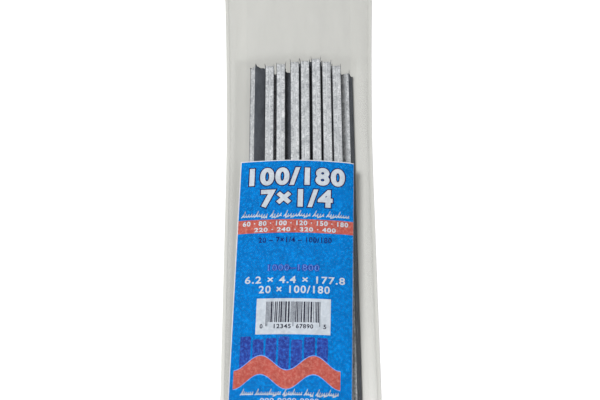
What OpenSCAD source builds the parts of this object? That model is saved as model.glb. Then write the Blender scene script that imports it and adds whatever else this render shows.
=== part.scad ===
// Bundle of foam-cored sanding sticks in a flat clear sleeve with a printed paper label.
// Millimetres. X runs across the pack, Y along the sticks towards the open mouth of the
// sleeve, and Z up from the surface that the pack lies on.

/* [Stick] */
// Length of a stick
stick_length = 177.8; // [150:0.1:178]
// Width of an abrasive face
stick_width = 6.2; // [5.6:0.1:6.2]
// Thickness of each of the two foam pads
foam_t = 1.67; // [1.2:0.01:1.67]
// Thickness of the stiff plastic strip between the pads
strip_t = 0.6; // [0.3:0.05:0.6]
// Thickness of the coarse abrasive sheet
coarse_t = 0.2; // [0.1:0.02:0.2]
// Thickness of the fine abrasive sheet
fine_t = 0.14; // [0.06:0.02:0.14]
// Length by which the abrasive sheets pass the foam at the upper end
sheet_overhang = 0.5; // [0:0.1:1.5]

/* [Sleeve] */
// Length of the sleeve
sleeve_length = 260; // [256:1:300]
// Width of the sleeve over the bundle
sleeve_width = 73.4; // [73:0.1:76]
// How much wider each side is at the open mouth, where the film lies flatter
mouth_flare = 4.2; // [1:0.1:6]
// Thickness of the film
film_t = 0.12; // [0.08:0.01:0.2]
// Width of the weld along each side
seam_width = 1.7; // [1:0.1:2]
// Width of the weld across the closed end
end_seal_width = 1.6; // [1:0.1:2.5]

/* [Label] */
// Width of the label
label_width = 55.4; // [40:0.2:56]
// Height of the label
label_height = 120; // [60:1:120]
// Thickness of the label
label_t = 0.25; // [0.1:0.05:0.25]
// Turn of the label, clockwise from the front
label_turn = 1.95; // [0:0.05:2.5]
// Middle of the label across the sleeve
label_x = -3.1; // [-4:0.1:0]
// Middle of the label along the sleeve
label_y = -58.2; // [-59:0.1:0]

/* [Hidden] */
stick_count = 20;
glue_gap = 0.03;
stick_gap = 0.03;
core_t = 2 * foam_t + strip_t + 2 * glue_gap;
stick_t = coarse_t + glue_gap + core_t + glue_gap + fine_t;

// Heights at which the two layers of sticks rest
lower_z = film_t + 0.08;
upper_z = lower_z + stick_width + 0.05;

// Upper layer: middle of each upright stick, its lift above the lower layer, and its tip
upper_sticks = [
    [-14.87, 0.40, 56.2],
    [-9.15, 1.30, 56.7],
    [-2.08, 2.65, 57.3],
    [3.11, 2.65, 57.7],
    [8.75, 2.65, 59.0],
    [14.05, 1.80, 57.7],
    [19.14, 1.00, 55.8]
];

// Lower layer from the left: a stick flat on its side, uprights, pairs of sticks flat on each
// other, uprights, and a leaning stick
lower_right = 21.55;
pairs_right = 11.8;
uprights_left = 2;
pairs = 3;
uprights_right = 2;
upright_pitch = stick_t + stick_gap;
flat_pitch = stick_width + stick_gap;
pairs_left = pairs_right - pairs * flat_pitch;
lower_left = pairs_left - uprights_left * upright_pitch;
lower_tips = [54.6, 55.2, 55.6, 58.4, 60.3, 57.3, 59.7, 53.6, 54.3, 60.0, 55.1];
leaning_lean = 22;
leaning_x = lower_right + stick_gap + stick_width * sin(leaning_lean)
    + stick_t / 2 * cos(leaning_lean);
leaning_z = lower_z + stick_t / 2 * sin(leaning_lean);
leaning_tip = 54.9;

// The stick that has fallen outwards beside the upper layer, onto the flat one
fallen_lean = 55;
fallen_gap = 0.15;
fallen_tip = 56.9;
fallen_x = upper_sticks[0][0] - stick_t / 2 - fallen_gap - stick_t / 2 * cos(fallen_lean);
fallen_z = lower_z + stick_t + fallen_gap + stick_t / 2 * sin(fallen_lean);

// Every stick as [middle of its lower edge in X, in Z, lean to the left, tip in Y]
sticks = concat(
    [[fallen_x, fallen_z, fallen_lean, fallen_tip]],
    [for (s = upper_sticks) [s[0], upper_z + s[1], 0, s[2]]],
    [[lower_left - stick_gap, lower_z + stick_t / 2, 90, lower_tips[0]]],
    [for (i = [0:uprights_left - 1])
        [lower_left + stick_t / 2 + i * upright_pitch, lower_z, 0, lower_tips[1 + i]]],
    [for (pair = [0:pairs - 1], i = [0:1])
        [pairs_right - stick_gap - pair * flat_pitch, lower_z + stick_t / 2 + i * upright_pitch,
            90, lower_tips[1 + uprights_left + 2 * pair + i]]],
    [for (i = [0:uprights_right - 1])
        [lower_right - stick_t / 2 - (uprights_right - 1 - i) * upright_pitch, lower_z, 0,
            lower_tips[1 + uprights_left + 2 * pairs + i]]],
    [[leaning_x, leaning_z, leaning_lean, leaning_tip]]
);

// Inner face of the front film over the bundle: weld, shoulder, crown, shoulder, weld
weld_z = 1.15;
weld_x = sleeve_width / 2 - seam_width;
film_guide = [
    [-weld_x, weld_z],
    [-34.2, 4.8],
    [-32.8, 8.2],
    [-30.6, 10.2],
    [-27.5, 11.5],
    [-22.5, 12.75],
    [-16.0, 14.0],
    [-9.0, 15.1],
    [-3.0, 15.75],
    [4.0, 16.0],
    [11.0, 15.7],
    [17.0, 15.1],
    [22.5, 14.4],
    [26.5, 13.1],
    [29.8, 10.8],
    [32.4, 7.8],
    [34.1, 4.6],
    [weld_x, weld_z]
];
guide_steps = 2;

// Underside of the back film: flat under the bundle, then up to the welds
back_guide = [[-weld_x, 0.9], [-31.5, 0.42], [-27, 0], [27, 0], [31.5, 0.42], [weld_x, 0.9]];

// Places along the sleeve: the closed end comes down over a few millimetres
y_bottom = -sleeve_length / 2;
y_mouth = sleeve_length / 2;
seal_y = y_bottom + end_seal_width;
closing_length = 4.6;
closing_steps = 5;
open_steps = 9;
flare_start_y = 5;
flare_power = 1.5;
shoulder_x = 22;
seal_z = 0.16;
stations = concat(
    [for (i = [0:closing_steps]) seal_y + 0.05 + closing_length * i / closing_steps],
    [for (i = [0:open_steps]) y_mouth * i / open_steps]
);

// A point on the smooth curve through a, b, c and d, between b and c
function curve_point(a, b, c, d, t) =
    0.5 * (2 * b + (c - a) * t + (2 * a - 5 * b + 4 * c - d) * t * t
        + (3 * b - a - 3 * c + d) * t * t * t);

// The smooth curve through the points p, with n steps between neighbours
function curve(p, n) = concat(
    [for (i = [0:len(p) - 2], k = [0:n - 1])
        curve_point(p[max(i - 1, 0)], p[i], p[i + 1], p[min(i + 2, len(p) - 1)], k / n)],
    [p[len(p) - 1]]
);

film_line = curve(film_guide, guide_steps);

// How far the film has risen from the closed end, from 0 at the weld to 1 over the bundle
function rise(y) = sin(90 * min(1, max(0, (y - seal_y) / closing_length)));

// How much wider each side is at y: at the closed end the film lies flat again
function flare(y) =
    mouth_flare * pow(max(0, y - flare_start_y) / (y_mouth - flare_start_y), flare_power)
    + 1.8 * (1 - rise(y));

// A point of the film's section at y, where the shoulders move out with the flare
function placed(p, y) = [
    p[0] + sign(p[0]) * flare(y) * max(0, abs(p[0]) - shoulder_x) / (weld_x - shoulder_x),
    y,
    p[1] * rise(y)
];

// The same section, moved up by an amount
function section(line, y, up) = [for (p = line) placed(p, y) + [0, 0, up]];

// Place a stick's own frame, in which it stands on its edge along Y from 0
module place_stick(i) {
    s = sticks[i - 1];
    translate([s[0], s[3] - stick_length, s[1]])
        rotate([0, -s[2], 0])
            children();
}

// A layer of a stick: it starts at x and reaches from the lower end to y_end
module layer(x, thickness, y_end) {
    translate([x, 0, 0])
        cube([thickness, y_end, stick_width]);
}

// Two foam pads on a stiff plastic strip
module stick_core(i) {
    core_x = -stick_t / 2 + coarse_t + glue_gap;
    core_end = stick_length - sheet_overhang;
    place_stick(i) {
        color("whitesmoke") layer(core_x, foam_t, core_end);
        color("gainsboro") layer(core_x + foam_t + glue_gap, strip_t, core_end);
        color("whitesmoke") layer(core_x + foam_t + strip_t + 2 * glue_gap, foam_t, core_end);
    }
}

// The coarse sheet on one face and the fine sheet on the other
module stick_grit(i) {
    place_stick(i) {
        color([0.17, 0.17, 0.19]) layer(-stick_t / 2, coarse_t, stick_length);
        color([0.22, 0.23, 0.26]) layer(stick_t / 2 - fine_t, fine_t, stick_length);
    }
}

// A closed sheet between two grids of points of the same size: rows along Y, columns along X
module sheet(top, bottom) {
    rows = len(top);
    cols = len(top[0]);
    half = rows * cols;
    points = concat([for (row = top) each row], [for (row = bottom) each row]);
    function quad(a, b, c, d) = [[a, b, c], [a, c, d]];
    function at(r, c) = r * cols + c;
    skins = [for (r = [0:rows - 2], c = [0:cols - 2]) each concat(
        quad(at(r, c), at(r + 1, c), at(r + 1, c + 1), at(r, c + 1)),
        quad(half + at(r, c), half + at(r, c + 1), half + at(r + 1, c + 1), half + at(r + 1, c))
    )];
    sides = [for (r = [0:rows - 2]) each concat(
        quad(at(r + 1, 0), at(r, 0), half + at(r, 0), half + at(r + 1, 0)),
        quad(at(r, cols - 1), at(r + 1, cols - 1),
            half + at(r + 1, cols - 1), half + at(r, cols - 1))
    )];
    ends = [for (c = [0:cols - 2]) each concat(
        quad(at(0, c), at(0, c + 1), half + at(0, c + 1), half + at(0, c)),
        quad(at(rows - 1, c + 1), at(rows - 1, c),
            half + at(rows - 1, c), half + at(rows - 1, c + 1))
    )];
    polyhedron(points, concat(skins, sides, ends));
}

module sleeve_front_film() {
    color([0.86, 0.87, 0.85, 0.4]) sheet(
        [for (y = stations) section(film_line, y, seal_z + film_t)],
        [for (y = stations) section(film_line, y, seal_z)]
    );
}

module sleeve_back_film() {
    color([0.82, 0.83, 0.81, 0.4]) sheet(
        [for (y = stations) section(back_guide, y, film_t)],
        [for (y = stations) section(back_guide, y, 0)]
    );
}

// Weld of the two films along one side: side is -1 on the left and 1 on the right
module side_weld(side) {
    inner = 0.04;
    function edge(y, up) = let (x = weld_x + flare(y), z = (weld_z - 0.25) * rise(y) + up)
        side > 0
            ? [[x + inner, y, z], [x + seam_width, y, z]]
            : [[-x - seam_width, y, z], [-x - inner, y, z]];
    color([0.9, 0.91, 0.9, 0.5]) sheet(
        [for (y = stations) edge(y, 0.42)],
        [for (y = stations) edge(y, 0)]
    );
}

module left_side_seam() {
    side_weld(-1);
}

module right_side_seam() {
    side_weld(1);
}

module bottom_seal() {
    half_width = sleeve_width / 2 + flare(seal_y);
    color([0.9, 0.91, 0.9, 0.5])
        translate([-half_width, y_bottom, 0])
            cube([2 * half_width, end_seal_width, seal_z + film_t]);
}

// The label hangs just under the front film and follows its section
module label_insert() {
    columns = 32;
    rows = 6;
    film_gap = 0.15;
    function label_point(u, v, down) = let (
        x = label_x + u * cos(label_turn) + v * sin(label_turn),
        y = label_y - u * sin(label_turn) + v * cos(label_turn)
    ) [x, y, lookup(x, film_line) + seal_z - down];
    function grid(down) = [for (r = [0:rows])
        [for (c = [0:columns])
            label_point(label_width * (c / columns - 0.5), label_height * (r / rows - 0.5), down)]];
    color([0.0, 0.5, 0.83]) sheet(grid(film_gap), grid(film_gap + label_t));
}

function two_digits(i) = i < 10 ? str("0", i) : str(i);
function core_name(i) = str("stick_", two_digits(i), "_core");
function grit_name(i) = str("stick_", two_digits(i), "_grit");

for (i = [1:stick_count]) {
    stick_core(i);
    stick_grit(i);
}
label_insert();
sleeve_back_film();
left_side_seam();
right_side_seam();
bottom_seal();
sleeve_front_film();
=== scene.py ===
"""Looks of a pack of foam-cored sanding sticks: the sticks, the film sleeve and the printed label.

Lengths in this script are millimetres in the pack's own frame, and become metres in new_piece().
X runs across the pack, Y along the sticks towards the sleeve's open mouth, and Z up.
"""

import math
import random

import bmesh
import bpy
import numpy as np
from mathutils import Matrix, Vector, noise


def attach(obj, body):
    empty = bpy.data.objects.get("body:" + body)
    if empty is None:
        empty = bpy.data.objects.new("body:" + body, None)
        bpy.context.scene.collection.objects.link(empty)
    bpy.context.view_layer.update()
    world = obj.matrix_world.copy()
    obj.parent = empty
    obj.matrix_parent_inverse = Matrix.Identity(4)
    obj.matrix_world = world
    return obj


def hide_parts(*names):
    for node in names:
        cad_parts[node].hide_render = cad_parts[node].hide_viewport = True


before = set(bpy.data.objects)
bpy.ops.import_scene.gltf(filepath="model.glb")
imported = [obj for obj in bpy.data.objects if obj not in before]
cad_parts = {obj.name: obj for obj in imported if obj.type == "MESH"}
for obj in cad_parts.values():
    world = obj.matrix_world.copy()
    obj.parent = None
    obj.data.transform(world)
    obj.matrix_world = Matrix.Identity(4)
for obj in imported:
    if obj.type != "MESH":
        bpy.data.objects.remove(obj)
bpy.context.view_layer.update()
MM = 0.001
STICKS = 20
# Sticks 1 to this one are the upper layer
UPPER_STICKS = 8

# ---------------------------------------------------------------- shapes read from the frame


def node_points(node):
    """The vertices of a CAD node, in millimetres."""
    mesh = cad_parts[node].data
    co = np.zeros(len(mesh.vertices) * 3)
    mesh.vertices.foreach_get("co", co)
    return co.reshape(-1, 3) / MM


def distinct(values, step=0.005):
    """The different values in a list, in order."""
    kept = []
    for v in np.sort(values):
        if not kept or v - kept[-1] > step:
            kept.append(v)
    return kept


FILM = node_points("sleeve_front_film")
FILM_STATIONS = distinct(FILM[:, 1])
MIDDLE = FILM[np.abs(FILM[:, 1]) < 0.01]
PROFILE_X = np.array(distinct(MIDDLE[:, 0]))
PROFILE_Z = np.array([MIDDLE[np.abs(MIDDLE[:, 0] - x) < 0.01][:, 2].min() for x in PROFILE_X])
FILM_T = np.ptp(MIDDLE[np.abs(MIDDLE[:, 0] - PROFILE_X[0]) < 0.01][:, 2])
WELD_X = PROFILE_X[-1]
# Where the film's shoulders start, and the share of the weld's height that its closed end keeps
SHOULDER_X = 22.0
CLOSED_SHARE = 0.14
CLOSED_Z = PROFILE_Z[0] * CLOSED_SHARE
EDGE_X = [FILM[np.abs(FILM[:, 1] - y) < 0.01][:, 0].max() - WELD_X for y in FILM_STATIONS]
CROWN_Z = [FILM[np.abs(FILM[:, 1] - y) < 0.01][:, 2].max() for y in FILM_STATIONS]


def film_z(x):
    """Height of the front film's inner face over the bundle."""
    return float(np.interp(x, PROFILE_X, PROFILE_Z))


def film_spread(y):
    """How much further out the shoulders lie at y than over the bundle."""
    return float(np.interp(y, FILM_STATIONS, EDGE_X))


def film_rise(y):
    """How far up the film has come at y: 0 at the closed end and 1 over the bundle."""
    base = FILM_T + CLOSED_Z
    full = max(CROWN_Z)
    return (float(np.interp(y, FILM_STATIONS, CROWN_Z)) - base) / (full - base)


# ---------------------------------------------------------------- meshes


def new_piece(name, points, faces, materials, face_materials=None, smooth=True):
    """A mesh object from points in millimetres."""
    mesh = bpy.data.meshes.new(name)
    mesh.from_pydata([tuple(c * MM for c in p) for p in points], [], faces)
    for material in materials:
        mesh.materials.append(material)
    if face_materials is not None:
        mesh.polygons.foreach_set("material_index", face_materials)
    mesh.polygons.foreach_set("use_smooth", [smooth] * len(mesh.polygons))
    mesh.update()
    piece = bpy.data.objects.new(name, mesh)
    bpy.context.scene.collection.objects.link(piece)
    return piece


def dress(piece, body, slot, *nodes):
    """Ride the piece on its body and stand for CAD nodes. The slot is not used."""
    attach(piece, body)
    if nodes:
        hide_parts(*nodes)
    return piece


def sheet_faces(rows, cols):
    """Faces of a closed sheet between two grids of points, each rows by cols."""
    half = rows * cols

    def at(r, c):
        return r * cols + c

    faces = []
    for r in range(rows - 1):
        for c in range(cols - 1):
            a, b, d, e = at(r, c), at(r, c + 1), at(r + 1, c + 1), at(r + 1, c)
            faces.append((a, b, d, e))
            faces.append((half + e, half + d, half + b, half + a))
    for r in range(rows - 1):
        a, b = at(r, 0), at(r + 1, 0)
        faces.append((a, b, half + b, half + a))
        a, b = at(r, cols - 1), at(r + 1, cols - 1)
        faces.append((b, a, half + a, half + b))
    for c in range(cols - 1):
        a, b = at(0, c), at(0, c + 1)
        faces.append((b, a, half + a, half + b))
        a, b = at(rows - 1, c), at(rows - 1, c + 1)
        faces.append((a, b, half + b, half + a))
    return faces


def loft(loops):
    """Points and faces of a closed solid through section loops, with a fan at each end."""
    n = len(loops[0])
    points = [p for loop in loops for p in loop]
    faces = []
    for s in range(len(loops) - 1):
        for k in range(n):
            a, b = s * n + k, s * n + (k + 1) % n
            faces.append((a, b, b + n, a + n))
    for s, turn in ((0, True), (len(loops) - 1, False)):
        middle = np.mean(loops[s], axis=0)
        points.append(middle)
        hub = len(points) - 1
        for k in range(n):
            a, b = s * n + k, s * n + (k + 1) % n
            faces.append((hub, b, a) if turn else (hub, a, b))
    return points, faces


# ---------------------------------------------------------------- materials

# Opacity of the front film where it touches the bundle or the label, and the places between which
# it comes off them: past the tips, and beside the label on the left and on the right
CONTACT_HAZE = 0.002
OFF_TIPS = (56.0, 64.0)
OFF_LEFT = (-31.2, -34.0)
OFF_RIGHT = (28.0, 31.5)


class Shader:
    """A material's node tree, with short ways to add nodes and join them."""

    def __init__(self, name):
        self.material = bpy.data.materials.new(name)
        self.material.use_nodes = True
        self.tree = self.material.node_tree
        self.bsdf = self.tree.nodes["Principled BSDF"]
        self.place = self.add("ShaderNodeTexCoord").outputs["Object"]

    def add(self, kind, **settings):
        node = self.tree.nodes.new(kind)
        for key, value in settings.items():
            setattr(node, key, value)
        return node

    def join(self, output, target):
        self.tree.links.new(output, target)

    def stretched(self, x, y, z):
        """Object coordinates in millimetres, divided by a length along each axis."""
        mapping = self.add("ShaderNodeMapping")
        mapping.inputs["Scale"].default_value = (1 / MM / x, 1 / MM / y, 1 / MM / z)
        self.join(self.place, mapping.inputs["Vector"])
        return mapping.outputs["Vector"]

    def noise(self, sizes, detail=4.0, roughness=0.6):
        """Noise whose features are about the given sizes in millimetres."""
        node = self.add("ShaderNodeTexNoise")
        node.inputs["Scale"].default_value = 1.0
        node.inputs["Detail"].default_value = detail
        node.inputs["Roughness"].default_value = roughness
        self.join(self.stretched(*sizes), node.inputs["Vector"])
        return node.outputs["Fac"]

    def cells(self, sizes):
        """Distance to the middle of the nearest cell of the given sizes in millimetres."""
        node = self.add("ShaderNodeTexVoronoi")
        node.inputs["Scale"].default_value = 1.0
        self.join(self.stretched(*sizes), node.inputs["Vector"])
        return node.outputs["Distance"]

    def ramp(self, value, stops):
        """Map a value to colours or greys: stops is a list of (place, colour or grey)."""
        node = self.add("ShaderNodeValToRGB")
        ramp = node.color_ramp
        while len(ramp.elements) < len(stops):
            ramp.elements.new(0.5)
        for element, (place, colour) in zip(ramp.elements, stops):
            element.position = place
            grey = not isinstance(colour, tuple)
            element.color = (colour, colour, colour, 1) if grey else (*colour, 1)
        self.join(value, node.inputs["Fac"])
        return node.outputs["Color"]

    def mix(self, share, first, second):
        """Blend two colours; either may be an output or a plain colour."""
        node = self.add("ShaderNodeMix", data_type="RGBA")
        for index, value in ((0, share), (6, first), (7, second)):
            socket = node.inputs[index]
            if isinstance(value, bpy.types.NodeSocket):
                self.join(value, socket)
            else:
                socket.default_value = (*value, 1) if isinstance(value, tuple) else value
        return node.outputs[2]

    def bump(self, height, distance, strength=1.0):
        """Bump of the given depth in millimetres on the main shader."""
        node = self.add("ShaderNodeBump")
        node.inputs["Distance"].default_value = distance * MM
        node.inputs["Strength"].default_value = strength
        self.join(height, node.inputs["Height"])
        self.join(node.outputs["Normal"], self.bsdf.inputs["Normal"])

    def between(self, axis, near, far):
        """0 up to the place near along an axis, in millimetres, and 1 from the place far on.
        The place far may lie on either side of near."""
        split = self.add("ShaderNodeSeparateXYZ")
        self.join(self.place, split.inputs[0])
        value = split.outputs[axis]
        share = self.add("ShaderNodeMapRange", interpolation_type="SMOOTHSTEP")
        share.inputs["From Min"].default_value = near * MM
        share.inputs["From Max"].default_value = far * MM
        self.join(value, share.inputs["Value"])
        return share.outputs["Result"]

    def off_bundle(self):
        """1 on film that stands off the bundle and the label, and 0 where it touches them."""
        most = self.between("Y", *OFF_TIPS)
        for side in (self.between("X", *OFF_LEFT), self.between("X", *OFF_RIGHT)):
            more = self.add("ShaderNodeMath", operation="MAXIMUM")
            self.join(most, more.inputs[0])
            self.join(side, more.inputs[1])
            most = more.outputs[0]
        return most

    def set(self, **values):
        """Give the main shader's sockets a value or an output each, and return the material."""
        for key, value in values.items():
            socket = self.bsdf.inputs[key.replace("_", " ")]
            if isinstance(value, bpy.types.NodeSocket):
                self.join(value, socket)
            else:
                socket.default_value = value
        return self.material


def foam_material():
    """Closed-cell foam with its cut cells showing and dust of the abrasive on it."""
    s = Shader("foam")
    clouds = s.noise((2.6, 3.4, 2.6), 5.0, 0.7)
    dark, middle, pale = (0.28, 0.29, 0.3), (0.42, 0.435, 0.445), (0.56, 0.57, 0.58)
    base = s.ramp(clouds, [(0.34, dark), (0.5, middle), (0.64, pale)])
    specks = s.ramp(s.noise((0.8, 0.9, 0.8), 3.0, 0.65), [(0.46, 0.0), (0.66, 0.8)])
    mottled = s.mix(specks, base, (0.17, 0.18, 0.195))
    dust = s.ramp(s.noise((0.8, 1.1, 0.8), 4.0, 0.75), [(0.64, 0.0), (0.71, 1.0)])
    s.bump(s.cells((0.35, 0.35, 0.35)), 0.08, 0.6)
    return s.set(
        Base_Color=s.mix(dust, mottled, (0.08, 0.08, 0.09)),
        Roughness=s.ramp(clouds, [(0.3, 0.75), (0.7, 0.92)]),
        Specular_IOR_Level=0.2,
    )


def strip_material():
    """Polystyrene strip between the pads, a little smoother than the foam."""
    s = Shader("core_strip")
    clouds = s.noise((2.2, 4.0, 2.2), 4.0, 0.65)
    s.bump(s.noise((0.2, 1.5, 0.2), 3.0), 0.03, 0.5)
    return s.set(
        Base_Color=s.ramp(clouds, [(0.36, (0.3, 0.315, 0.33)), (0.64, (0.5, 0.515, 0.53))]),
        Roughness=s.ramp(clouds, [(0.3, 0.5), (0.7, 0.68)]),
    )


def grit_material(name, grain, dark, light):
    """Black abrasive on paper: packed grains, with pale specks painted into the colour as glints
    where grains would catch the light.
    """
    s = Shader(name)
    grains = s.cells((grain, grain, grain))
    drift = s.noise((3.0, 9.0, 3.0), 4.0)
    body = s.mix(s.ramp(drift, [(0.35, 0.0), (0.7, 1.0)]), dark, light)
    # Painted highlight: pale specks mixed into the base colour stand in for grains catching the
    # light
    painted_glint = s.ramp(s.noise((grain * 1.6,) * 3, 1.0), [(0.66, 0.0), (0.74, 1.0)])
    s.bump(grains, grain * 0.5, 0.9)
    return s.set(
        Base_Color=s.mix(painted_glint, body, (0.2, 0.21, 0.24)),
        Roughness=s.ramp(grains, [(0.1, 0.55), (0.6, 0.85)]),
        Specular_IOR_Level=0.25,
    )


def paper_material(name, colour, fleck, fleck_share=0.3):
    """Printed or bare matte paper: the ink lies unevenly and the fibres show as pale flecks."""
    s = Shader(name)
    fibres = s.noise((1.3, 1.3, 1.3), 4.0, 0.75)
    tone = s.noise((5.0, 7.0, 5.0), 3.0)
    darker = tuple(c * 0.82 for c in colour)
    ink = s.mix(s.ramp(tone, [(0.35, 0.0), (0.65, 1.0)]), darker, colour)
    flecks = s.ramp(fibres, [(0.46, 0.0), (0.66, fleck_share)])
    s.bump(fibres, 0.03, 0.5)
    return s.set(
        Base_Color=s.mix(flecks, ink, fleck),
        Roughness=s.ramp(tone, [(0.3, 0.62), (0.7, 0.78)]),
        Specular_IOR_Level=0.02,
    )


def film_material(name, haze, colour, clear_where_touching=False):
    """Thin poly film: clear, with a milky haze that varies along it and a soft gloss. Film that
    touches what is under it loses its haze."""
    s = Shader(name)
    low, high = haze
    cloud = s.noise((9.0, 60.0, 9.0), 4.0, 0.55)
    s.set(
        Base_Color=s.ramp(cloud, [(0.3, tuple(c * 0.96 for c in colour)), (0.7, colour)]),
        Roughness=s.ramp(s.noise((2.0, 12.0, 2.0), 3.0), [(0.3, 0.3), (0.7, 0.42)]),
    )
    alpha = s.ramp(cloud, [(0.25, low), (0.75, high)])
    if clear_where_touching:
        alpha = s.mix(s.off_bundle(), (CONTACT_HAZE,) * 3, alpha)
    s.set(Alpha=alpha)
    s.bump(s.noise((1.5, 9.0, 1.5), 3.0), 0.05, 0.35)
    return s.material


FOAM = foam_material()
STRIP = strip_material()
COARSE = grit_material("coarse_grit", 0.22, (0.036, 0.041, 0.05), (0.06, 0.066, 0.076))
FINE = grit_material("fine_grit", 0.14, (0.046, 0.052, 0.063), (0.074, 0.082, 0.094))
FRONT_FILM = film_material("front_film", (0.06, 0.1), (0.76, 0.76, 0.73), clear_where_touching=True)
BACK_FILM = film_material("back_film", (0.6, 0.66), (0.585, 0.585, 0.555))
WELD = film_material("film_weld", (0.64, 0.7), (0.57, 0.57, 0.54))
BARE_PAPER = paper_material("bare_paper", (0.55, 0.56, 0.58), (0.62, 0.62, 0.62))
BLUE_INK = paper_material("blue_ink", (0.0, 0.115, 0.38), (0.0, 0.23, 0.64), 0.75)
CORAL_INK = paper_material("coral_ink", (0.36, 0.07, 0.055), (0.5, 0.19, 0.15), 0.6)
NAVY_INK = paper_material("navy_ink", (0.004, 0.01, 0.09), (0.03, 0.1, 0.36), 0.3)
DARK_INK = paper_material("dark_ink", (0.01, 0.006, 0.045), (0.06, 0.06, 0.2), 0.3)
PALE_BLUE_INK = paper_material("pale_blue_ink", (0.09, 0.24, 0.62), (0.25, 0.42, 0.75), 0.5)
PURPLE_INK = paper_material("purple_ink", (0.018, 0.035, 0.22), (0.03, 0.13, 0.5), 0.75)
BLACK_INK = paper_material("black_ink", (0.018, 0.018, 0.032), (0.2, 0.2, 0.24), 0.2)
WHITE_INK = paper_material("white_ink", (0.41, 0.45, 0.5), (0.53, 0.56, 0.59), 0.5)

# ---------------------------------------------------------------- sticks

# Distance between a stick's stations where it is in view and where it is hidden
STATION_STEP = 1.5
HIDDEN_STEP = 6.0
SECTION_CORNER = 0.04
# Points up each abrasive sheet, and the length by which its tip has come off the foam
SHEET_LEVELS = 14
LIFTED = 0.8
# Roughness of the cut edges of the foam and of the strip, and of the torn ends
FOAM_RELIEF = 0.055
STRIP_RELIEF = 0.02
TORN_END = 0.45


class StickFrame:
    """Where a CAD stick lies: its lean, its layers across and its reach up and along."""

    def __init__(self, number):
        core = node_points(f"stick_{number:02d}_core")
        grit = node_points(f"stick_{number:02d}_grit")
        flat = core[:, [0, 2]]
        self.middle = (flat.max(0) + flat.min(0)) / 2
        centred = flat - self.middle
        up = np.linalg.svd(centred, full_matrices=False)[2][0]
        # the wide side of the section is its height, and a lean is always to the left
        if up[1] < -0.01 or (abs(up[1]) <= 0.01 and up[0] > 0):
            up = -up
        self.up = up
        self.across = np.array([up[1], -up[0]])
        self.core = distinct(centred @ self.across)
        self.sheets = distinct((grit[:, [0, 2]] - self.middle) @ self.across)
        self.bottom, self.top = np.ptp(centred @ up) * np.array([-0.5, 0.5])
        self.y_low, self.y_core = core[:, 1].min(), core[:, 1].max()
        self.y_tip = grit[:, 1].max()

    def point(self, x, y, z):
        flat = self.middle + x * self.across + z * self.up
        return (flat[0], y, flat[1])


def pad_section(x0, x1, z0, z1):
    """Outline of a layer of the core, with its corners broken and points along its sides."""
    c = min(SECTION_CORNER, (x1 - x0) / 4)
    xs = np.linspace(x0 + c, x1 - c, 3)
    zs = np.linspace(z0 + c, z1 - c, 5)
    return (
        [(x, z0) for x in xs]
        + [(x1, z) for z in zs]
        + [(x, z1) for x in xs[::-1]]
        + [(x0, z) for z in zs[::-1]]
    )


def stick_core(number, place, step, seed):
    """Two foam pads and the strip between them, cut off a little raggedly at the tip."""
    stations = np.linspace(place.y_low, place.y_core, int((place.y_core - place.y_low) / step) + 1)
    points, faces, which = [], [], []
    edges = place.core
    for k, (x0, x1) in enumerate(zip(edges[0::2], edges[1::2])):
        outline = pad_section(x0, x1, place.bottom, place.top)
        relief = STRIP_RELIEF if k == 1 else FOAM_RELIEF
        loops = []
        for j, y in enumerate(stations):
            at_end = j in (0, len(stations) - 1)
            loop = []
            for x, z in outline:
                rough = noise.noise(Vector((x * 1.3 + seed, y * 0.45, z * 0.6 + k * 9.0)))
                tear = noise.noise(Vector((x * 2.1 + seed, z * 1.7, 3.0 + k)))
                torn = TORN_END * tear if at_end else 0.0
                lift = relief * rough if abs(z) > place.top - 0.01 else 0.0
                loop.append(place.point(x, y + torn, z + lift))
            loops.append(loop)
        more, quads = loft(loops)
        faces += [tuple(len(points) + v for v in f) for f in quads]
        which += [1 if k == 1 else 0] * len(quads)
        points += more
    core = new_piece(f"stick_{number:02d}_foam_core", points, faces, [FOAM, STRIP], which)
    return dress(core, f"stick_{number:02d}", "foam", f"stick_{number:02d}_core")


def stick_abrasive(number, place, step, seed):
    """The coarse and the fine sheet: their edges stand a little proud and their ends are torn."""
    rng = random.Random(900 + number)
    rows = int((place.y_tip - place.y_low) / step) + 2
    points, faces, which = [], [], []
    for k, (x0, x1) in enumerate(zip(place.sheets[0::2], place.sheets[1::2])):
        notch = rng.uniform(0.2, 0.9)
        levels = [c / (SHEET_LEVELS - 1) for c in range(SHEET_LEVELS)]
        torn = [-notch * (1 - abs(2 * share - 1)) + rng.uniform(-0.25, 0.1) for share in levels]
        torn[-1] = rng.uniform(0.2, 1.2)
        torn[-2] = 0.5 * torn[-1] + rng.uniform(-0.25, 0.1)
        torn[0] = rng.uniform(0.3, 0.9)
        low_torn = [rng.uniform(-0.25, 0.25) for _ in range(SHEET_LEVELS)]
        curl = rng.uniform(0.0, 0.13) * (1 if k else -1)
        skins = ([], [])
        for r in range(rows):
            t = r / (rows - 1)
            for c, share in enumerate(levels):
                z = place.bottom + (place.top - place.bottom) * share
                reach = place.y_tip + torn[c] - place.y_low - low_torn[c]
                y = place.y_low + low_torn[c] + t * reach
                proud = 0.05 + 0.05 * noise.noise(Vector((seed + k, y * 0.8, 0.0)))
                z += proud if c == SHEET_LEVELS - 1 else 0.0
                bend = curl * max(0.0, y - place.y_core + LIFTED) ** 2
                skins[0].append(place.point(x1 + bend, y, z))
                skins[1].append(place.point(x0 + bend, y, z))
        quads = sheet_faces(rows, SHEET_LEVELS)
        faces += [tuple(len(points) + v for v in f) for f in quads]
        which += [k] * len(quads)
        points += skins[0] + skins[1]
    sheets = new_piece(f"stick_{number:02d}_abrasive", points, faces, [COARSE, FINE], which)
    return dress(sheets, f"stick_{number:02d}", "abrasive", f"stick_{number:02d}_grit")


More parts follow.
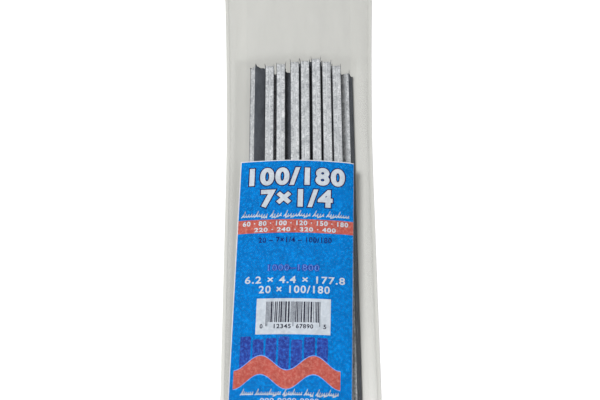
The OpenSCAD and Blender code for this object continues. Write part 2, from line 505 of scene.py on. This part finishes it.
def make_sticks():
    for number in range(1, STICKS + 1):
        place = StickFrame(number)
        seen = number <= UPPER_STICKS or number == STICKS
        step = STATION_STEP if seen else HIDDEN_STEP
        stick_core(number, place, step, number * 7.3)
        stick_abrasive(number, place, step * 2, number * 5.1)


# ---------------------------------------------------------------- sleeve

FILM_ROW_STEP = 2.0
FILM_SPLITS = 3
# The rows of the CAD film that are kept, from its closed end
CLOSING = 6
# Depth of the film's ripples over the bundle, and past the tips, which end by TIP_Y
CREASE = 0.35
FREE_CREASE = 0.7
TIP_Y = 60.0
# Distances over which the ripples change at the shoulders, past the tips and by the welds
SHOULDER_FADE = 8.0
TIP_FADE = 12.0
WELD_FADE = 3.0


def film_crease(x, y):
    """Outward ripple of the front film: faint over the bundle, more on the free shoulders."""
    along = 0.5 + 0.5 * noise.noise(Vector((x * 0.16, y * 0.018, 1.7)))
    fine = 0.5 + 0.5 * noise.noise(Vector((x * 0.5, y * 0.05 + x * 0.02, 8.2)))
    free = min(1.0, max(0.0, (abs(x) - SHOULDER_X) / SHOULDER_FADE))
    empty = min(1.0, max(0.0, (y - TIP_Y) / TIP_FADE))
    size = CREASE * 0.4 + (CREASE * 0.6) * free + FREE_CREASE * empty * (1 - free)
    return size * (0.7 * along + 0.3 * fine)


def film_point(x, y, up):
    """A point of the front film: x is its place over the bundle, up its height over it."""
    spread = film_spread(y) * max(0.0, abs(x) - SHOULDER_X) / (WELD_X - SHOULDER_X)
    rise = film_rise(y)
    off_weld = min(1.0, (WELD_X - abs(x)) / WELD_FADE)
    ripple = film_crease(x, y) * rise * max(0.0, off_weld)
    z = CLOSED_Z + (film_z(x) - CLOSED_Z) * rise
    return (x + math.copysign(spread, x), y, z + up + ripple)


def front_film():
    """The front film, rippled, from its closed end to its mouth."""
    columns = []
    for a, b in zip(PROFILE_X, PROFILE_X[1:]):
        columns += [a + (b - a) * k / FILM_SPLITS for k in range(FILM_SPLITS)]
    columns.append(PROFILE_X[-1])
    low, high = FILM_STATIONS[0], FILM_STATIONS[-1]
    closing = [y for y in FILM_STATIONS if y < low + CLOSING]
    rows = closing + list(np.arange(closing[-1] + FILM_ROW_STEP, high, FILM_ROW_STEP)) + [high]
    outer = [film_point(x, y, FILM_T) for y in rows for x in columns]
    inner = [film_point(x, y, 0.0) for y in rows for x in columns]
    faces = sheet_faces(len(rows), len(columns))
    film = new_piece("front_film", outer + inner, faces, [FRONT_FILM])
    return dress(film, "sleeve", "clear_film", "sleeve_front_film")


def carry_over():
    """The CAD nodes whose shape is right take a material and keep their mesh."""
    finish = {
        "sleeve_back_film": BACK_FILM,
        "left_side_seam": WELD,
        "right_side_seam": WELD,
        "bottom_seal": WELD,
    }
    for node, material in finish.items():
        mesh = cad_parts[node].data
        mesh.materials.clear()
        mesh.materials.append(material)


# ---------------------------------------------------------------- label

LABEL = node_points("label_insert")


def label_corner(sx, sy):
    """The label's corner that lies furthest towards sx and sy, seen from the front."""
    best = LABEL[np.argmax(sx * LABEL[:, 0] + sy * LABEL[:, 1])]
    return best[:2]


LOW_LEFT, LOW_RIGHT = label_corner(-1, -1), label_corner(1, -1)
TOP_LEFT, TOP_RIGHT = label_corner(-1, 1), label_corner(1, 1)
LABEL_MIDDLE = (LOW_LEFT + LOW_RIGHT + TOP_LEFT + TOP_RIGHT) / 4
LABEL_W = float(np.linalg.norm(LOW_RIGHT - LOW_LEFT))
LABEL_H = float(np.linalg.norm(TOP_LEFT - LOW_LEFT))
LABEL_U = (LOW_RIGHT - LOW_LEFT) / LABEL_W
LABEL_V = (TOP_LEFT - LOW_LEFT) / LABEL_H
# Drop of the paper's face below the film, and the thickness of the paper and of a layer of ink
PAPER_DROP = 0.16
PAPER_T = 0.2
INK_T = 0.012
# Lifts of the layers of ink above the paper's face
GROUND, UNDER, OVER, FRONT = 0.01, 0.03, 0.05, 0.07
EMBLEM_BARS = 7
EMBLEM_PITCH = 5.82


def on_label(u, v, lift):
    """A point of the label: u and v from its middle, lift above the paper's face."""
    x, y = LABEL_MIDDLE + u * LABEL_U + v * LABEL_V
    return (x, y, film_z(x) - PAPER_DROP + lift)


def rectangle(u0, v0, u1, v1):
    return [(u0, v0), (u1, v0), (u1, v1), (u0, v1)]


def rounded(u0, v0, u1, v1, r, steps=4):
    """A rectangle with round corners."""
    left, right, low, high = u0 + r, u1 - r, v0 + r, v1 - r
    corners = [(right, low, -90), (right, high, 0), (left, high, 90), (left, low, 180)]
    outline = []
    for cu, cv, start in corners:
        for k in range(steps + 1):
            a = math.radians(start + 90 * k / steps)
            outline.append((cu + r * math.cos(a), cv + r * math.sin(a)))
    return outline


def ribbon(path, width):
    """Quads that follow a path with an even width."""
    quads = []
    sides = []
    for k, (u, v) in enumerate(path):
        a = Vector(path[max(k - 1, 0)])
        b = Vector(path[min(k + 1, len(path) - 1)])
        along = (b - a).normalized()
        side = Vector((-along.y, along.x)) * width / 2
        sides.append(((u + side.x, v + side.y), (u - side.x, v - side.y)))
    for (a, b), (c, d) in zip(sides, sides[1:]):
        quads.append([a, b, d, c])
    return quads


def figures(text, u0, v0, u1, v1, bold, grow=0.0):
    """Triangles of a line of figures fitted to a box; grow widens them for an outline."""
    curve = bpy.data.curves.new("figures", "FONT")
    curve.body = text
    curve.size = 10.0
    curve.offset = bold
    curve.space_character = 1.16
    curve.resolution_u = 6
    holder = bpy.data.objects.new("figures", curve)
    bpy.context.scene.collection.objects.link(holder)
    bpy.context.view_layer.update()
    depsgraph = bpy.context.evaluated_depsgraph_get()
    mesh = bpy.data.meshes.new_from_object(holder.evaluated_get(depsgraph))
    co = np.array([v.co[:2] for v in mesh.vertices])
    low, high = co.min(0), co.max(0)
    scale = np.array([(u1 - u0), (v1 - v0)]) / (high - low)
    if grow:
        curve.offset = bold + grow / float(min(scale))
        bpy.context.view_layer.update()
        mesh = bpy.data.meshes.new_from_object(
            holder.evaluated_get(bpy.context.evaluated_depsgraph_get())
        )
        co = np.array([v.co[:2] for v in mesh.vertices])
    placed = (co - low) * scale + np.array([u0, v0])
    polygons = [[tuple(placed[i]) for i in p.vertices] for p in mesh.polygons]
    bpy.data.objects.remove(holder)
    bpy.data.curves.remove(curve)
    return polygons


def printed(name, polygons, ink, lift, thickness=INK_T):
    """A layer of the label. Every layer is cut where the film's section bends, so that between
    the cuts they are flat and stay apart by their lifts."""
    bm = bmesh.new()
    for polygon in polygons:
        corners = [bm.verts.new((u, v, 0.0)) for u, v in polygon]
        bm.faces.new(corners)
    bmesh.ops.remove_doubles(bm, verts=bm.verts, dist=0.0005)
    across = Vector((LABEL_U[0], LABEL_V[0], 0.0))
    reach = [across.dot(v.co) + LABEL_MIDDLE[0] for v in bm.verts]
    for x in PROFILE_X[(PROFILE_X > min(reach)) & (PROFILE_X < max(reach))]:
        everything = list(bm.verts) + list(bm.edges) + list(bm.faces)
        cut = across * (x - LABEL_MIDDLE[0])
        bmesh.ops.bisect_plane(bm, geom=everything, plane_co=cut, plane_no=across, dist=1e-5)
    for face in bm.faces:
        face.normal_update()
        if face.normal.z < 0:
            face.normal_flip()
    grown = bmesh.ops.extrude_face_region(bm, geom=list(bm.faces), use_keep_orig=True)
    raised = {v for v in grown["geom"] if isinstance(v, bmesh.types.BMVert)}
    for vert in bm.verts:
        up = lift + (thickness if vert in raised else 0.0)
        vert.co = Vector(on_label(vert.co.x, vert.co.y, up)) * MM
    bmesh.ops.recalc_face_normals(bm, faces=bm.faces)
    mesh = bpy.data.meshes.new(name)
    bm.to_mesh(mesh)
    bm.free()
    mesh.materials.append(ink)
    mesh.polygons.foreach_set("use_smooth", [True] * len(mesh.polygons))
    mesh.set_sharp_from_angle(angle=math.radians(40))
    piece = bpy.data.objects.new(name, mesh)
    bpy.context.scene.collection.objects.link(piece)
    return dress(piece, "label", "label_paper")


def scribble(u0, u1, v0, v1, words, rng, width):
    """A line of handwriting with no letters in it: words is a list of lengths, and each word
    is a tall stroke and then low loops that lean and run on."""
    shapes = []
    gap = 0.022 * (u1 - u0)
    room = (u1 - u0 - gap * (len(words) - 1)) / sum(words)
    height = v1 - v0
    u = u0
    for count in words:
        turns = round(1.5 * count)
        pitch = count * room / turns
        tall = {0} | ({turns // 2} if count > 4 else set())
        rises = [0.95 if k in tall else rng.uniform(0.36, 0.5) for k in range(turns + 1)]
        drops = [rng.choice((0.0, 0.0, 0.22)) if k not in tall else 0.05 for k in range(turns + 1)]
        path = []
        for k in range(turns * 8 + 1):
            t = k / 8
            turn = min(int(t), turns - 1)
            swing = 0.5 - 0.5 * math.cos(2 * math.pi * t)
            level = 0.24 - drops[turn] * (1 - swing) + swing * rises[turn] * 0.76
            slant = 0.42 * height * level
            pull = 0.2 * math.sin(2 * math.pi * t) * pitch
            path.append((u + t * pitch + slant + pull - 0.1 * height, v0 + level * height))
        shapes += ribbon(path, width)
        u += count * room + gap
    return shapes


def barcode(u0, u1, v0, v1, guard_v, rng):
    """Bars of random widths that code for nothing, with longer guards at the ends and middle."""
    modules = 95
    module = (u1 - u0) / modules
    guards = ((0, 3), (46, 49), (92, 95))
    shapes, at = [], 0
    while at < modules:
        guard = any(a <= at < b for a, b in guards)
        bar = 1 if guard else rng.choice((1, 1, 2, 2, 3))
        blank = 1 if guard else rng.choice((1, 1, 2))
        low = guard_v if guard else v0
        end = min(at + bar, modules)
        shapes.append(rectangle(u0 + at * module, low, u0 + end * module, v1))
        at += bar + blank
    return shapes


def wave_band(u0, u1, v0, v1, humps, width, steps=72):
    """A broad band that rises and falls in even humps."""
    path = []
    for k in range(steps + 1):
        t = k / steps
        swing = 0.5 - 0.5 * math.cos(2 * math.pi * humps * t)
        path.append((u0 + (u1 - u0) * t, v0 + (v1 - v0) * swing))
    half = width / 2
    return [
        [(a, b - half), (c, d - half), (c, d + half), (a, b + half)]
        for (a, b), (c, d) in zip(path, path[1:])
    ]


def emblem_bars():
    """Seven upright bars of uneven height, which stand for the sticks."""
    bars = []
    for k in range(EMBLEM_BARS):
        u = -23.2 + EMBLEM_PITCH * k
        low, high = -44.0 + 0.8 * math.sin(k * 1.9), -28.2 + 0.8 * math.cos(k * 2.3)
        bars.append(rounded(u, low, u + 4.9, high, 0.7))
    return bars


def label_headline():
    """The large outlined figures: the two grits, and the size in inches."""
    grits = ("100/180", -22.9, 46.7, 23.4, 56.0, 0.48)
    size = ("7\u00d71/4", -16.9, 35.2, 17.6, 44.6, 0.48)
    outline = 0.5
    edges = figures(*grits, outline) + figures(*size, outline)
    printed("label_figures_outline", edges, DARK_INK, OVER)
    printed("label_figures", figures(*grits) + figures(*size), WHITE_INK, FRONT)


def label_small_print(rng):
    """Numbers in place of small print, and handwriting that has no letters."""
    white = scribble(-25.8, 25.6, 29.8, 33.8, (7, 3, 7, 3, 6), rng, 0.46)
    dot = " \u00b7 "
    finer = dot.join(("60", "80", "100", "120", "150", "180"))
    white += figures(finer, -25.0, 26.0, 25.2, 28.5, 0.35)
    white += figures(dot.join(("220", "240", "320", "400")), -19.3, 22.9, 19.4, 25.1, 0.35)
    white += figures("6.2 \u00d7 4.4 \u00d7 177.8", -22.5, -2.5, 24.0, 1.0, 0.2)
    white += figures("20 \u00d7 100/180", -15.8, -7.2, 17.0, -3.6, 0.2)
    white += scribble(-22.0, 21.6, -54.6, -51.0, (4, 8, 6, 3, 7), rng, 0.42)
    white += figures("000 0000 0000", -13.0, -56.9, 13.0, -55.2, 0.2)
    printed("label_small_print", white, WHITE_INK, FRONT)
    navy = figures("20 \u2013 7\u00d71/4 \u2013 100/180", -17.0, 17.4, 17.5, 20.2, 0.28)
    printed("label_navy_print", navy, NAVY_INK, OVER)
    outlined = ("1000\u20131800", -11.8, 3.7, 11.8, 6.5, 0.1)
    printed("label_outlined_print", figures(*outlined, 0.3), PURPLE_INK, OVER)
    printed("label_outlined_print_fill", figures(*outlined[:5], -0.25), PALE_BLUE_INK, FRONT)


def label_barcode(rng):
    """A pale panel with bars and digits that code for nothing."""
    printed("label_barcode_panel", [rectangle(-16.5, -26.5, 17.6, -9.7)], WHITE_INK, OVER)
    bars = barcode(-12.0, 13.1, -20.9, -11.2, -22.8, rng)
    digits = (("0", -14.6, -13.3), ("12345", -8.2, -0.4), ("67890", 1.9, 9.8), ("5", 14.4, 15.7))
    for text, u0, u1 in digits:
        bars += figures(text, u0, -23.8, u1, -21.7, 0.3)
    printed("label_barcode_bars", bars, BLACK_INK, FRONT)


def label_emblem():
    """A made-up emblem: a row of bars with a broad wave in front."""
    wave = (-25.6, 22.4, -47.0, -40.4, 2)
    printed("label_emblem_sticks", emblem_bars(), PURPLE_INK, UNDER)
    printed("label_emblem_wave_edge", wave_band(*wave, 9.0), PALE_BLUE_INK, OVER)
    printed("label_emblem_wave", wave_band(*wave, 8.2), CORAL_INK, FRONT)


def label():
    """The paper and its print, laid out from the label's middle."""
    rng = random.Random(11)
    right, top = LABEL_W / 2, LABEL_H / 2
    sheet = rectangle(-right, -top, right, top)
    paper = printed("label_paper", [sheet], BARE_PAPER, -PAPER_T, PAPER_T)
    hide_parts("label_insert")
    left, low = -right + 0.45, -top + 0.1
    ground = rectangle(left, low, right - 0.05, top - 0.4)
    printed("label_blue_ground", [ground], BLUE_INK, GROUND)
    printed("label_coral_band", [rectangle(left, 22.4, right - 0.05, 29.1)], CORAL_INK, UNDER)
    label_headline()
    label_small_print(rng)
    label_barcode(rng)
    label_emblem()


# ---------------------------------------------------------------- studio

FLOOR_SPAN = 3000.0
WORLD_STRENGTH = 0.44
# The camera: its distance, its tilt and roll in degrees, its lens and the place that it looks at
VIEW_DISTANCE = 452.5
VIEW_TILT = 22.0
VIEW_LENS = 56.0
VIEW_ROLL = 0.33
VIEW_TARGET = (0.24, -17.0, 10.0)


def area_light(name, place, size, power):
    """A square light at a place in millimetres, turned to the frame's origin."""
    light = bpy.data.lights.new(name, "AREA")
    light.shape = "SQUARE"
    light.size = size * MM
    light.energy = power
    holder = bpy.data.objects.new(name, light)
    holder.location = Vector(place) * MM
    away = Vector((0, 0, 0)) - holder.location
    holder.rotation_euler = away.to_track_quat("-Z", "Y").to_euler()
    bpy.context.scene.collection.objects.link(holder)


def studio():
    """A plain pale floor, soft light from above and around, and the camera."""
    world = bpy.data.worlds.new("studio")
    world.use_nodes = True
    background = world.node_tree.nodes["Background"]
    background.inputs["Color"].default_value = (1, 1, 1, 1)
    background.inputs["Strength"].default_value = WORLD_STRENGTH
    bpy.context.scene.world = world

    s = Shader("floor")
    drift = s.noise((300.0,) * 3, 2.0)
    s.set(Base_Color=s.ramp(drift, [(0.3, (0.93,) * 3), (0.7, (0.95,) * 3)]), Roughness=0.9)
    corners = rectangle(-FLOOR_SPAN, -FLOOR_SPAN, FLOOR_SPAN, FLOOR_SPAN)
    floor = new_piece("floor", [(x, y, 0) for x, y in corners], [(0, 1, 2, 3)], [s.material])

    area_light("key", (-285.0, -60.0, 915.0), 230.0, 8.6)
    area_light("fill", (300.0, -400.0, 800.0), 800.0, 2.0)

    tilt = math.radians(VIEW_TILT)
    target = Vector(VIEW_TARGET)
    back = Vector((0, -math.sin(tilt), math.cos(tilt)))
    lens = bpy.data.cameras.new("camera")
    lens.lens = VIEW_LENS
    lens.clip_start = 0.01
    camera = bpy.data.objects.new("camera", lens)
    camera.location = (target + back * VIEW_DISTANCE) * MM
    turn = (-back).to_track_quat("-Z", "Y").to_euler()
    turn.rotate_axis("Z", math.radians(-VIEW_ROLL))
    camera.rotation_euler = turn
    bpy.context.scene.collection.objects.link(camera)
    bpy.context.scene.camera = camera
    bpy.context.scene.view_settings.view_transform = "Standard"


studio()
make_sticks()
front_film()
carry_over()
label()
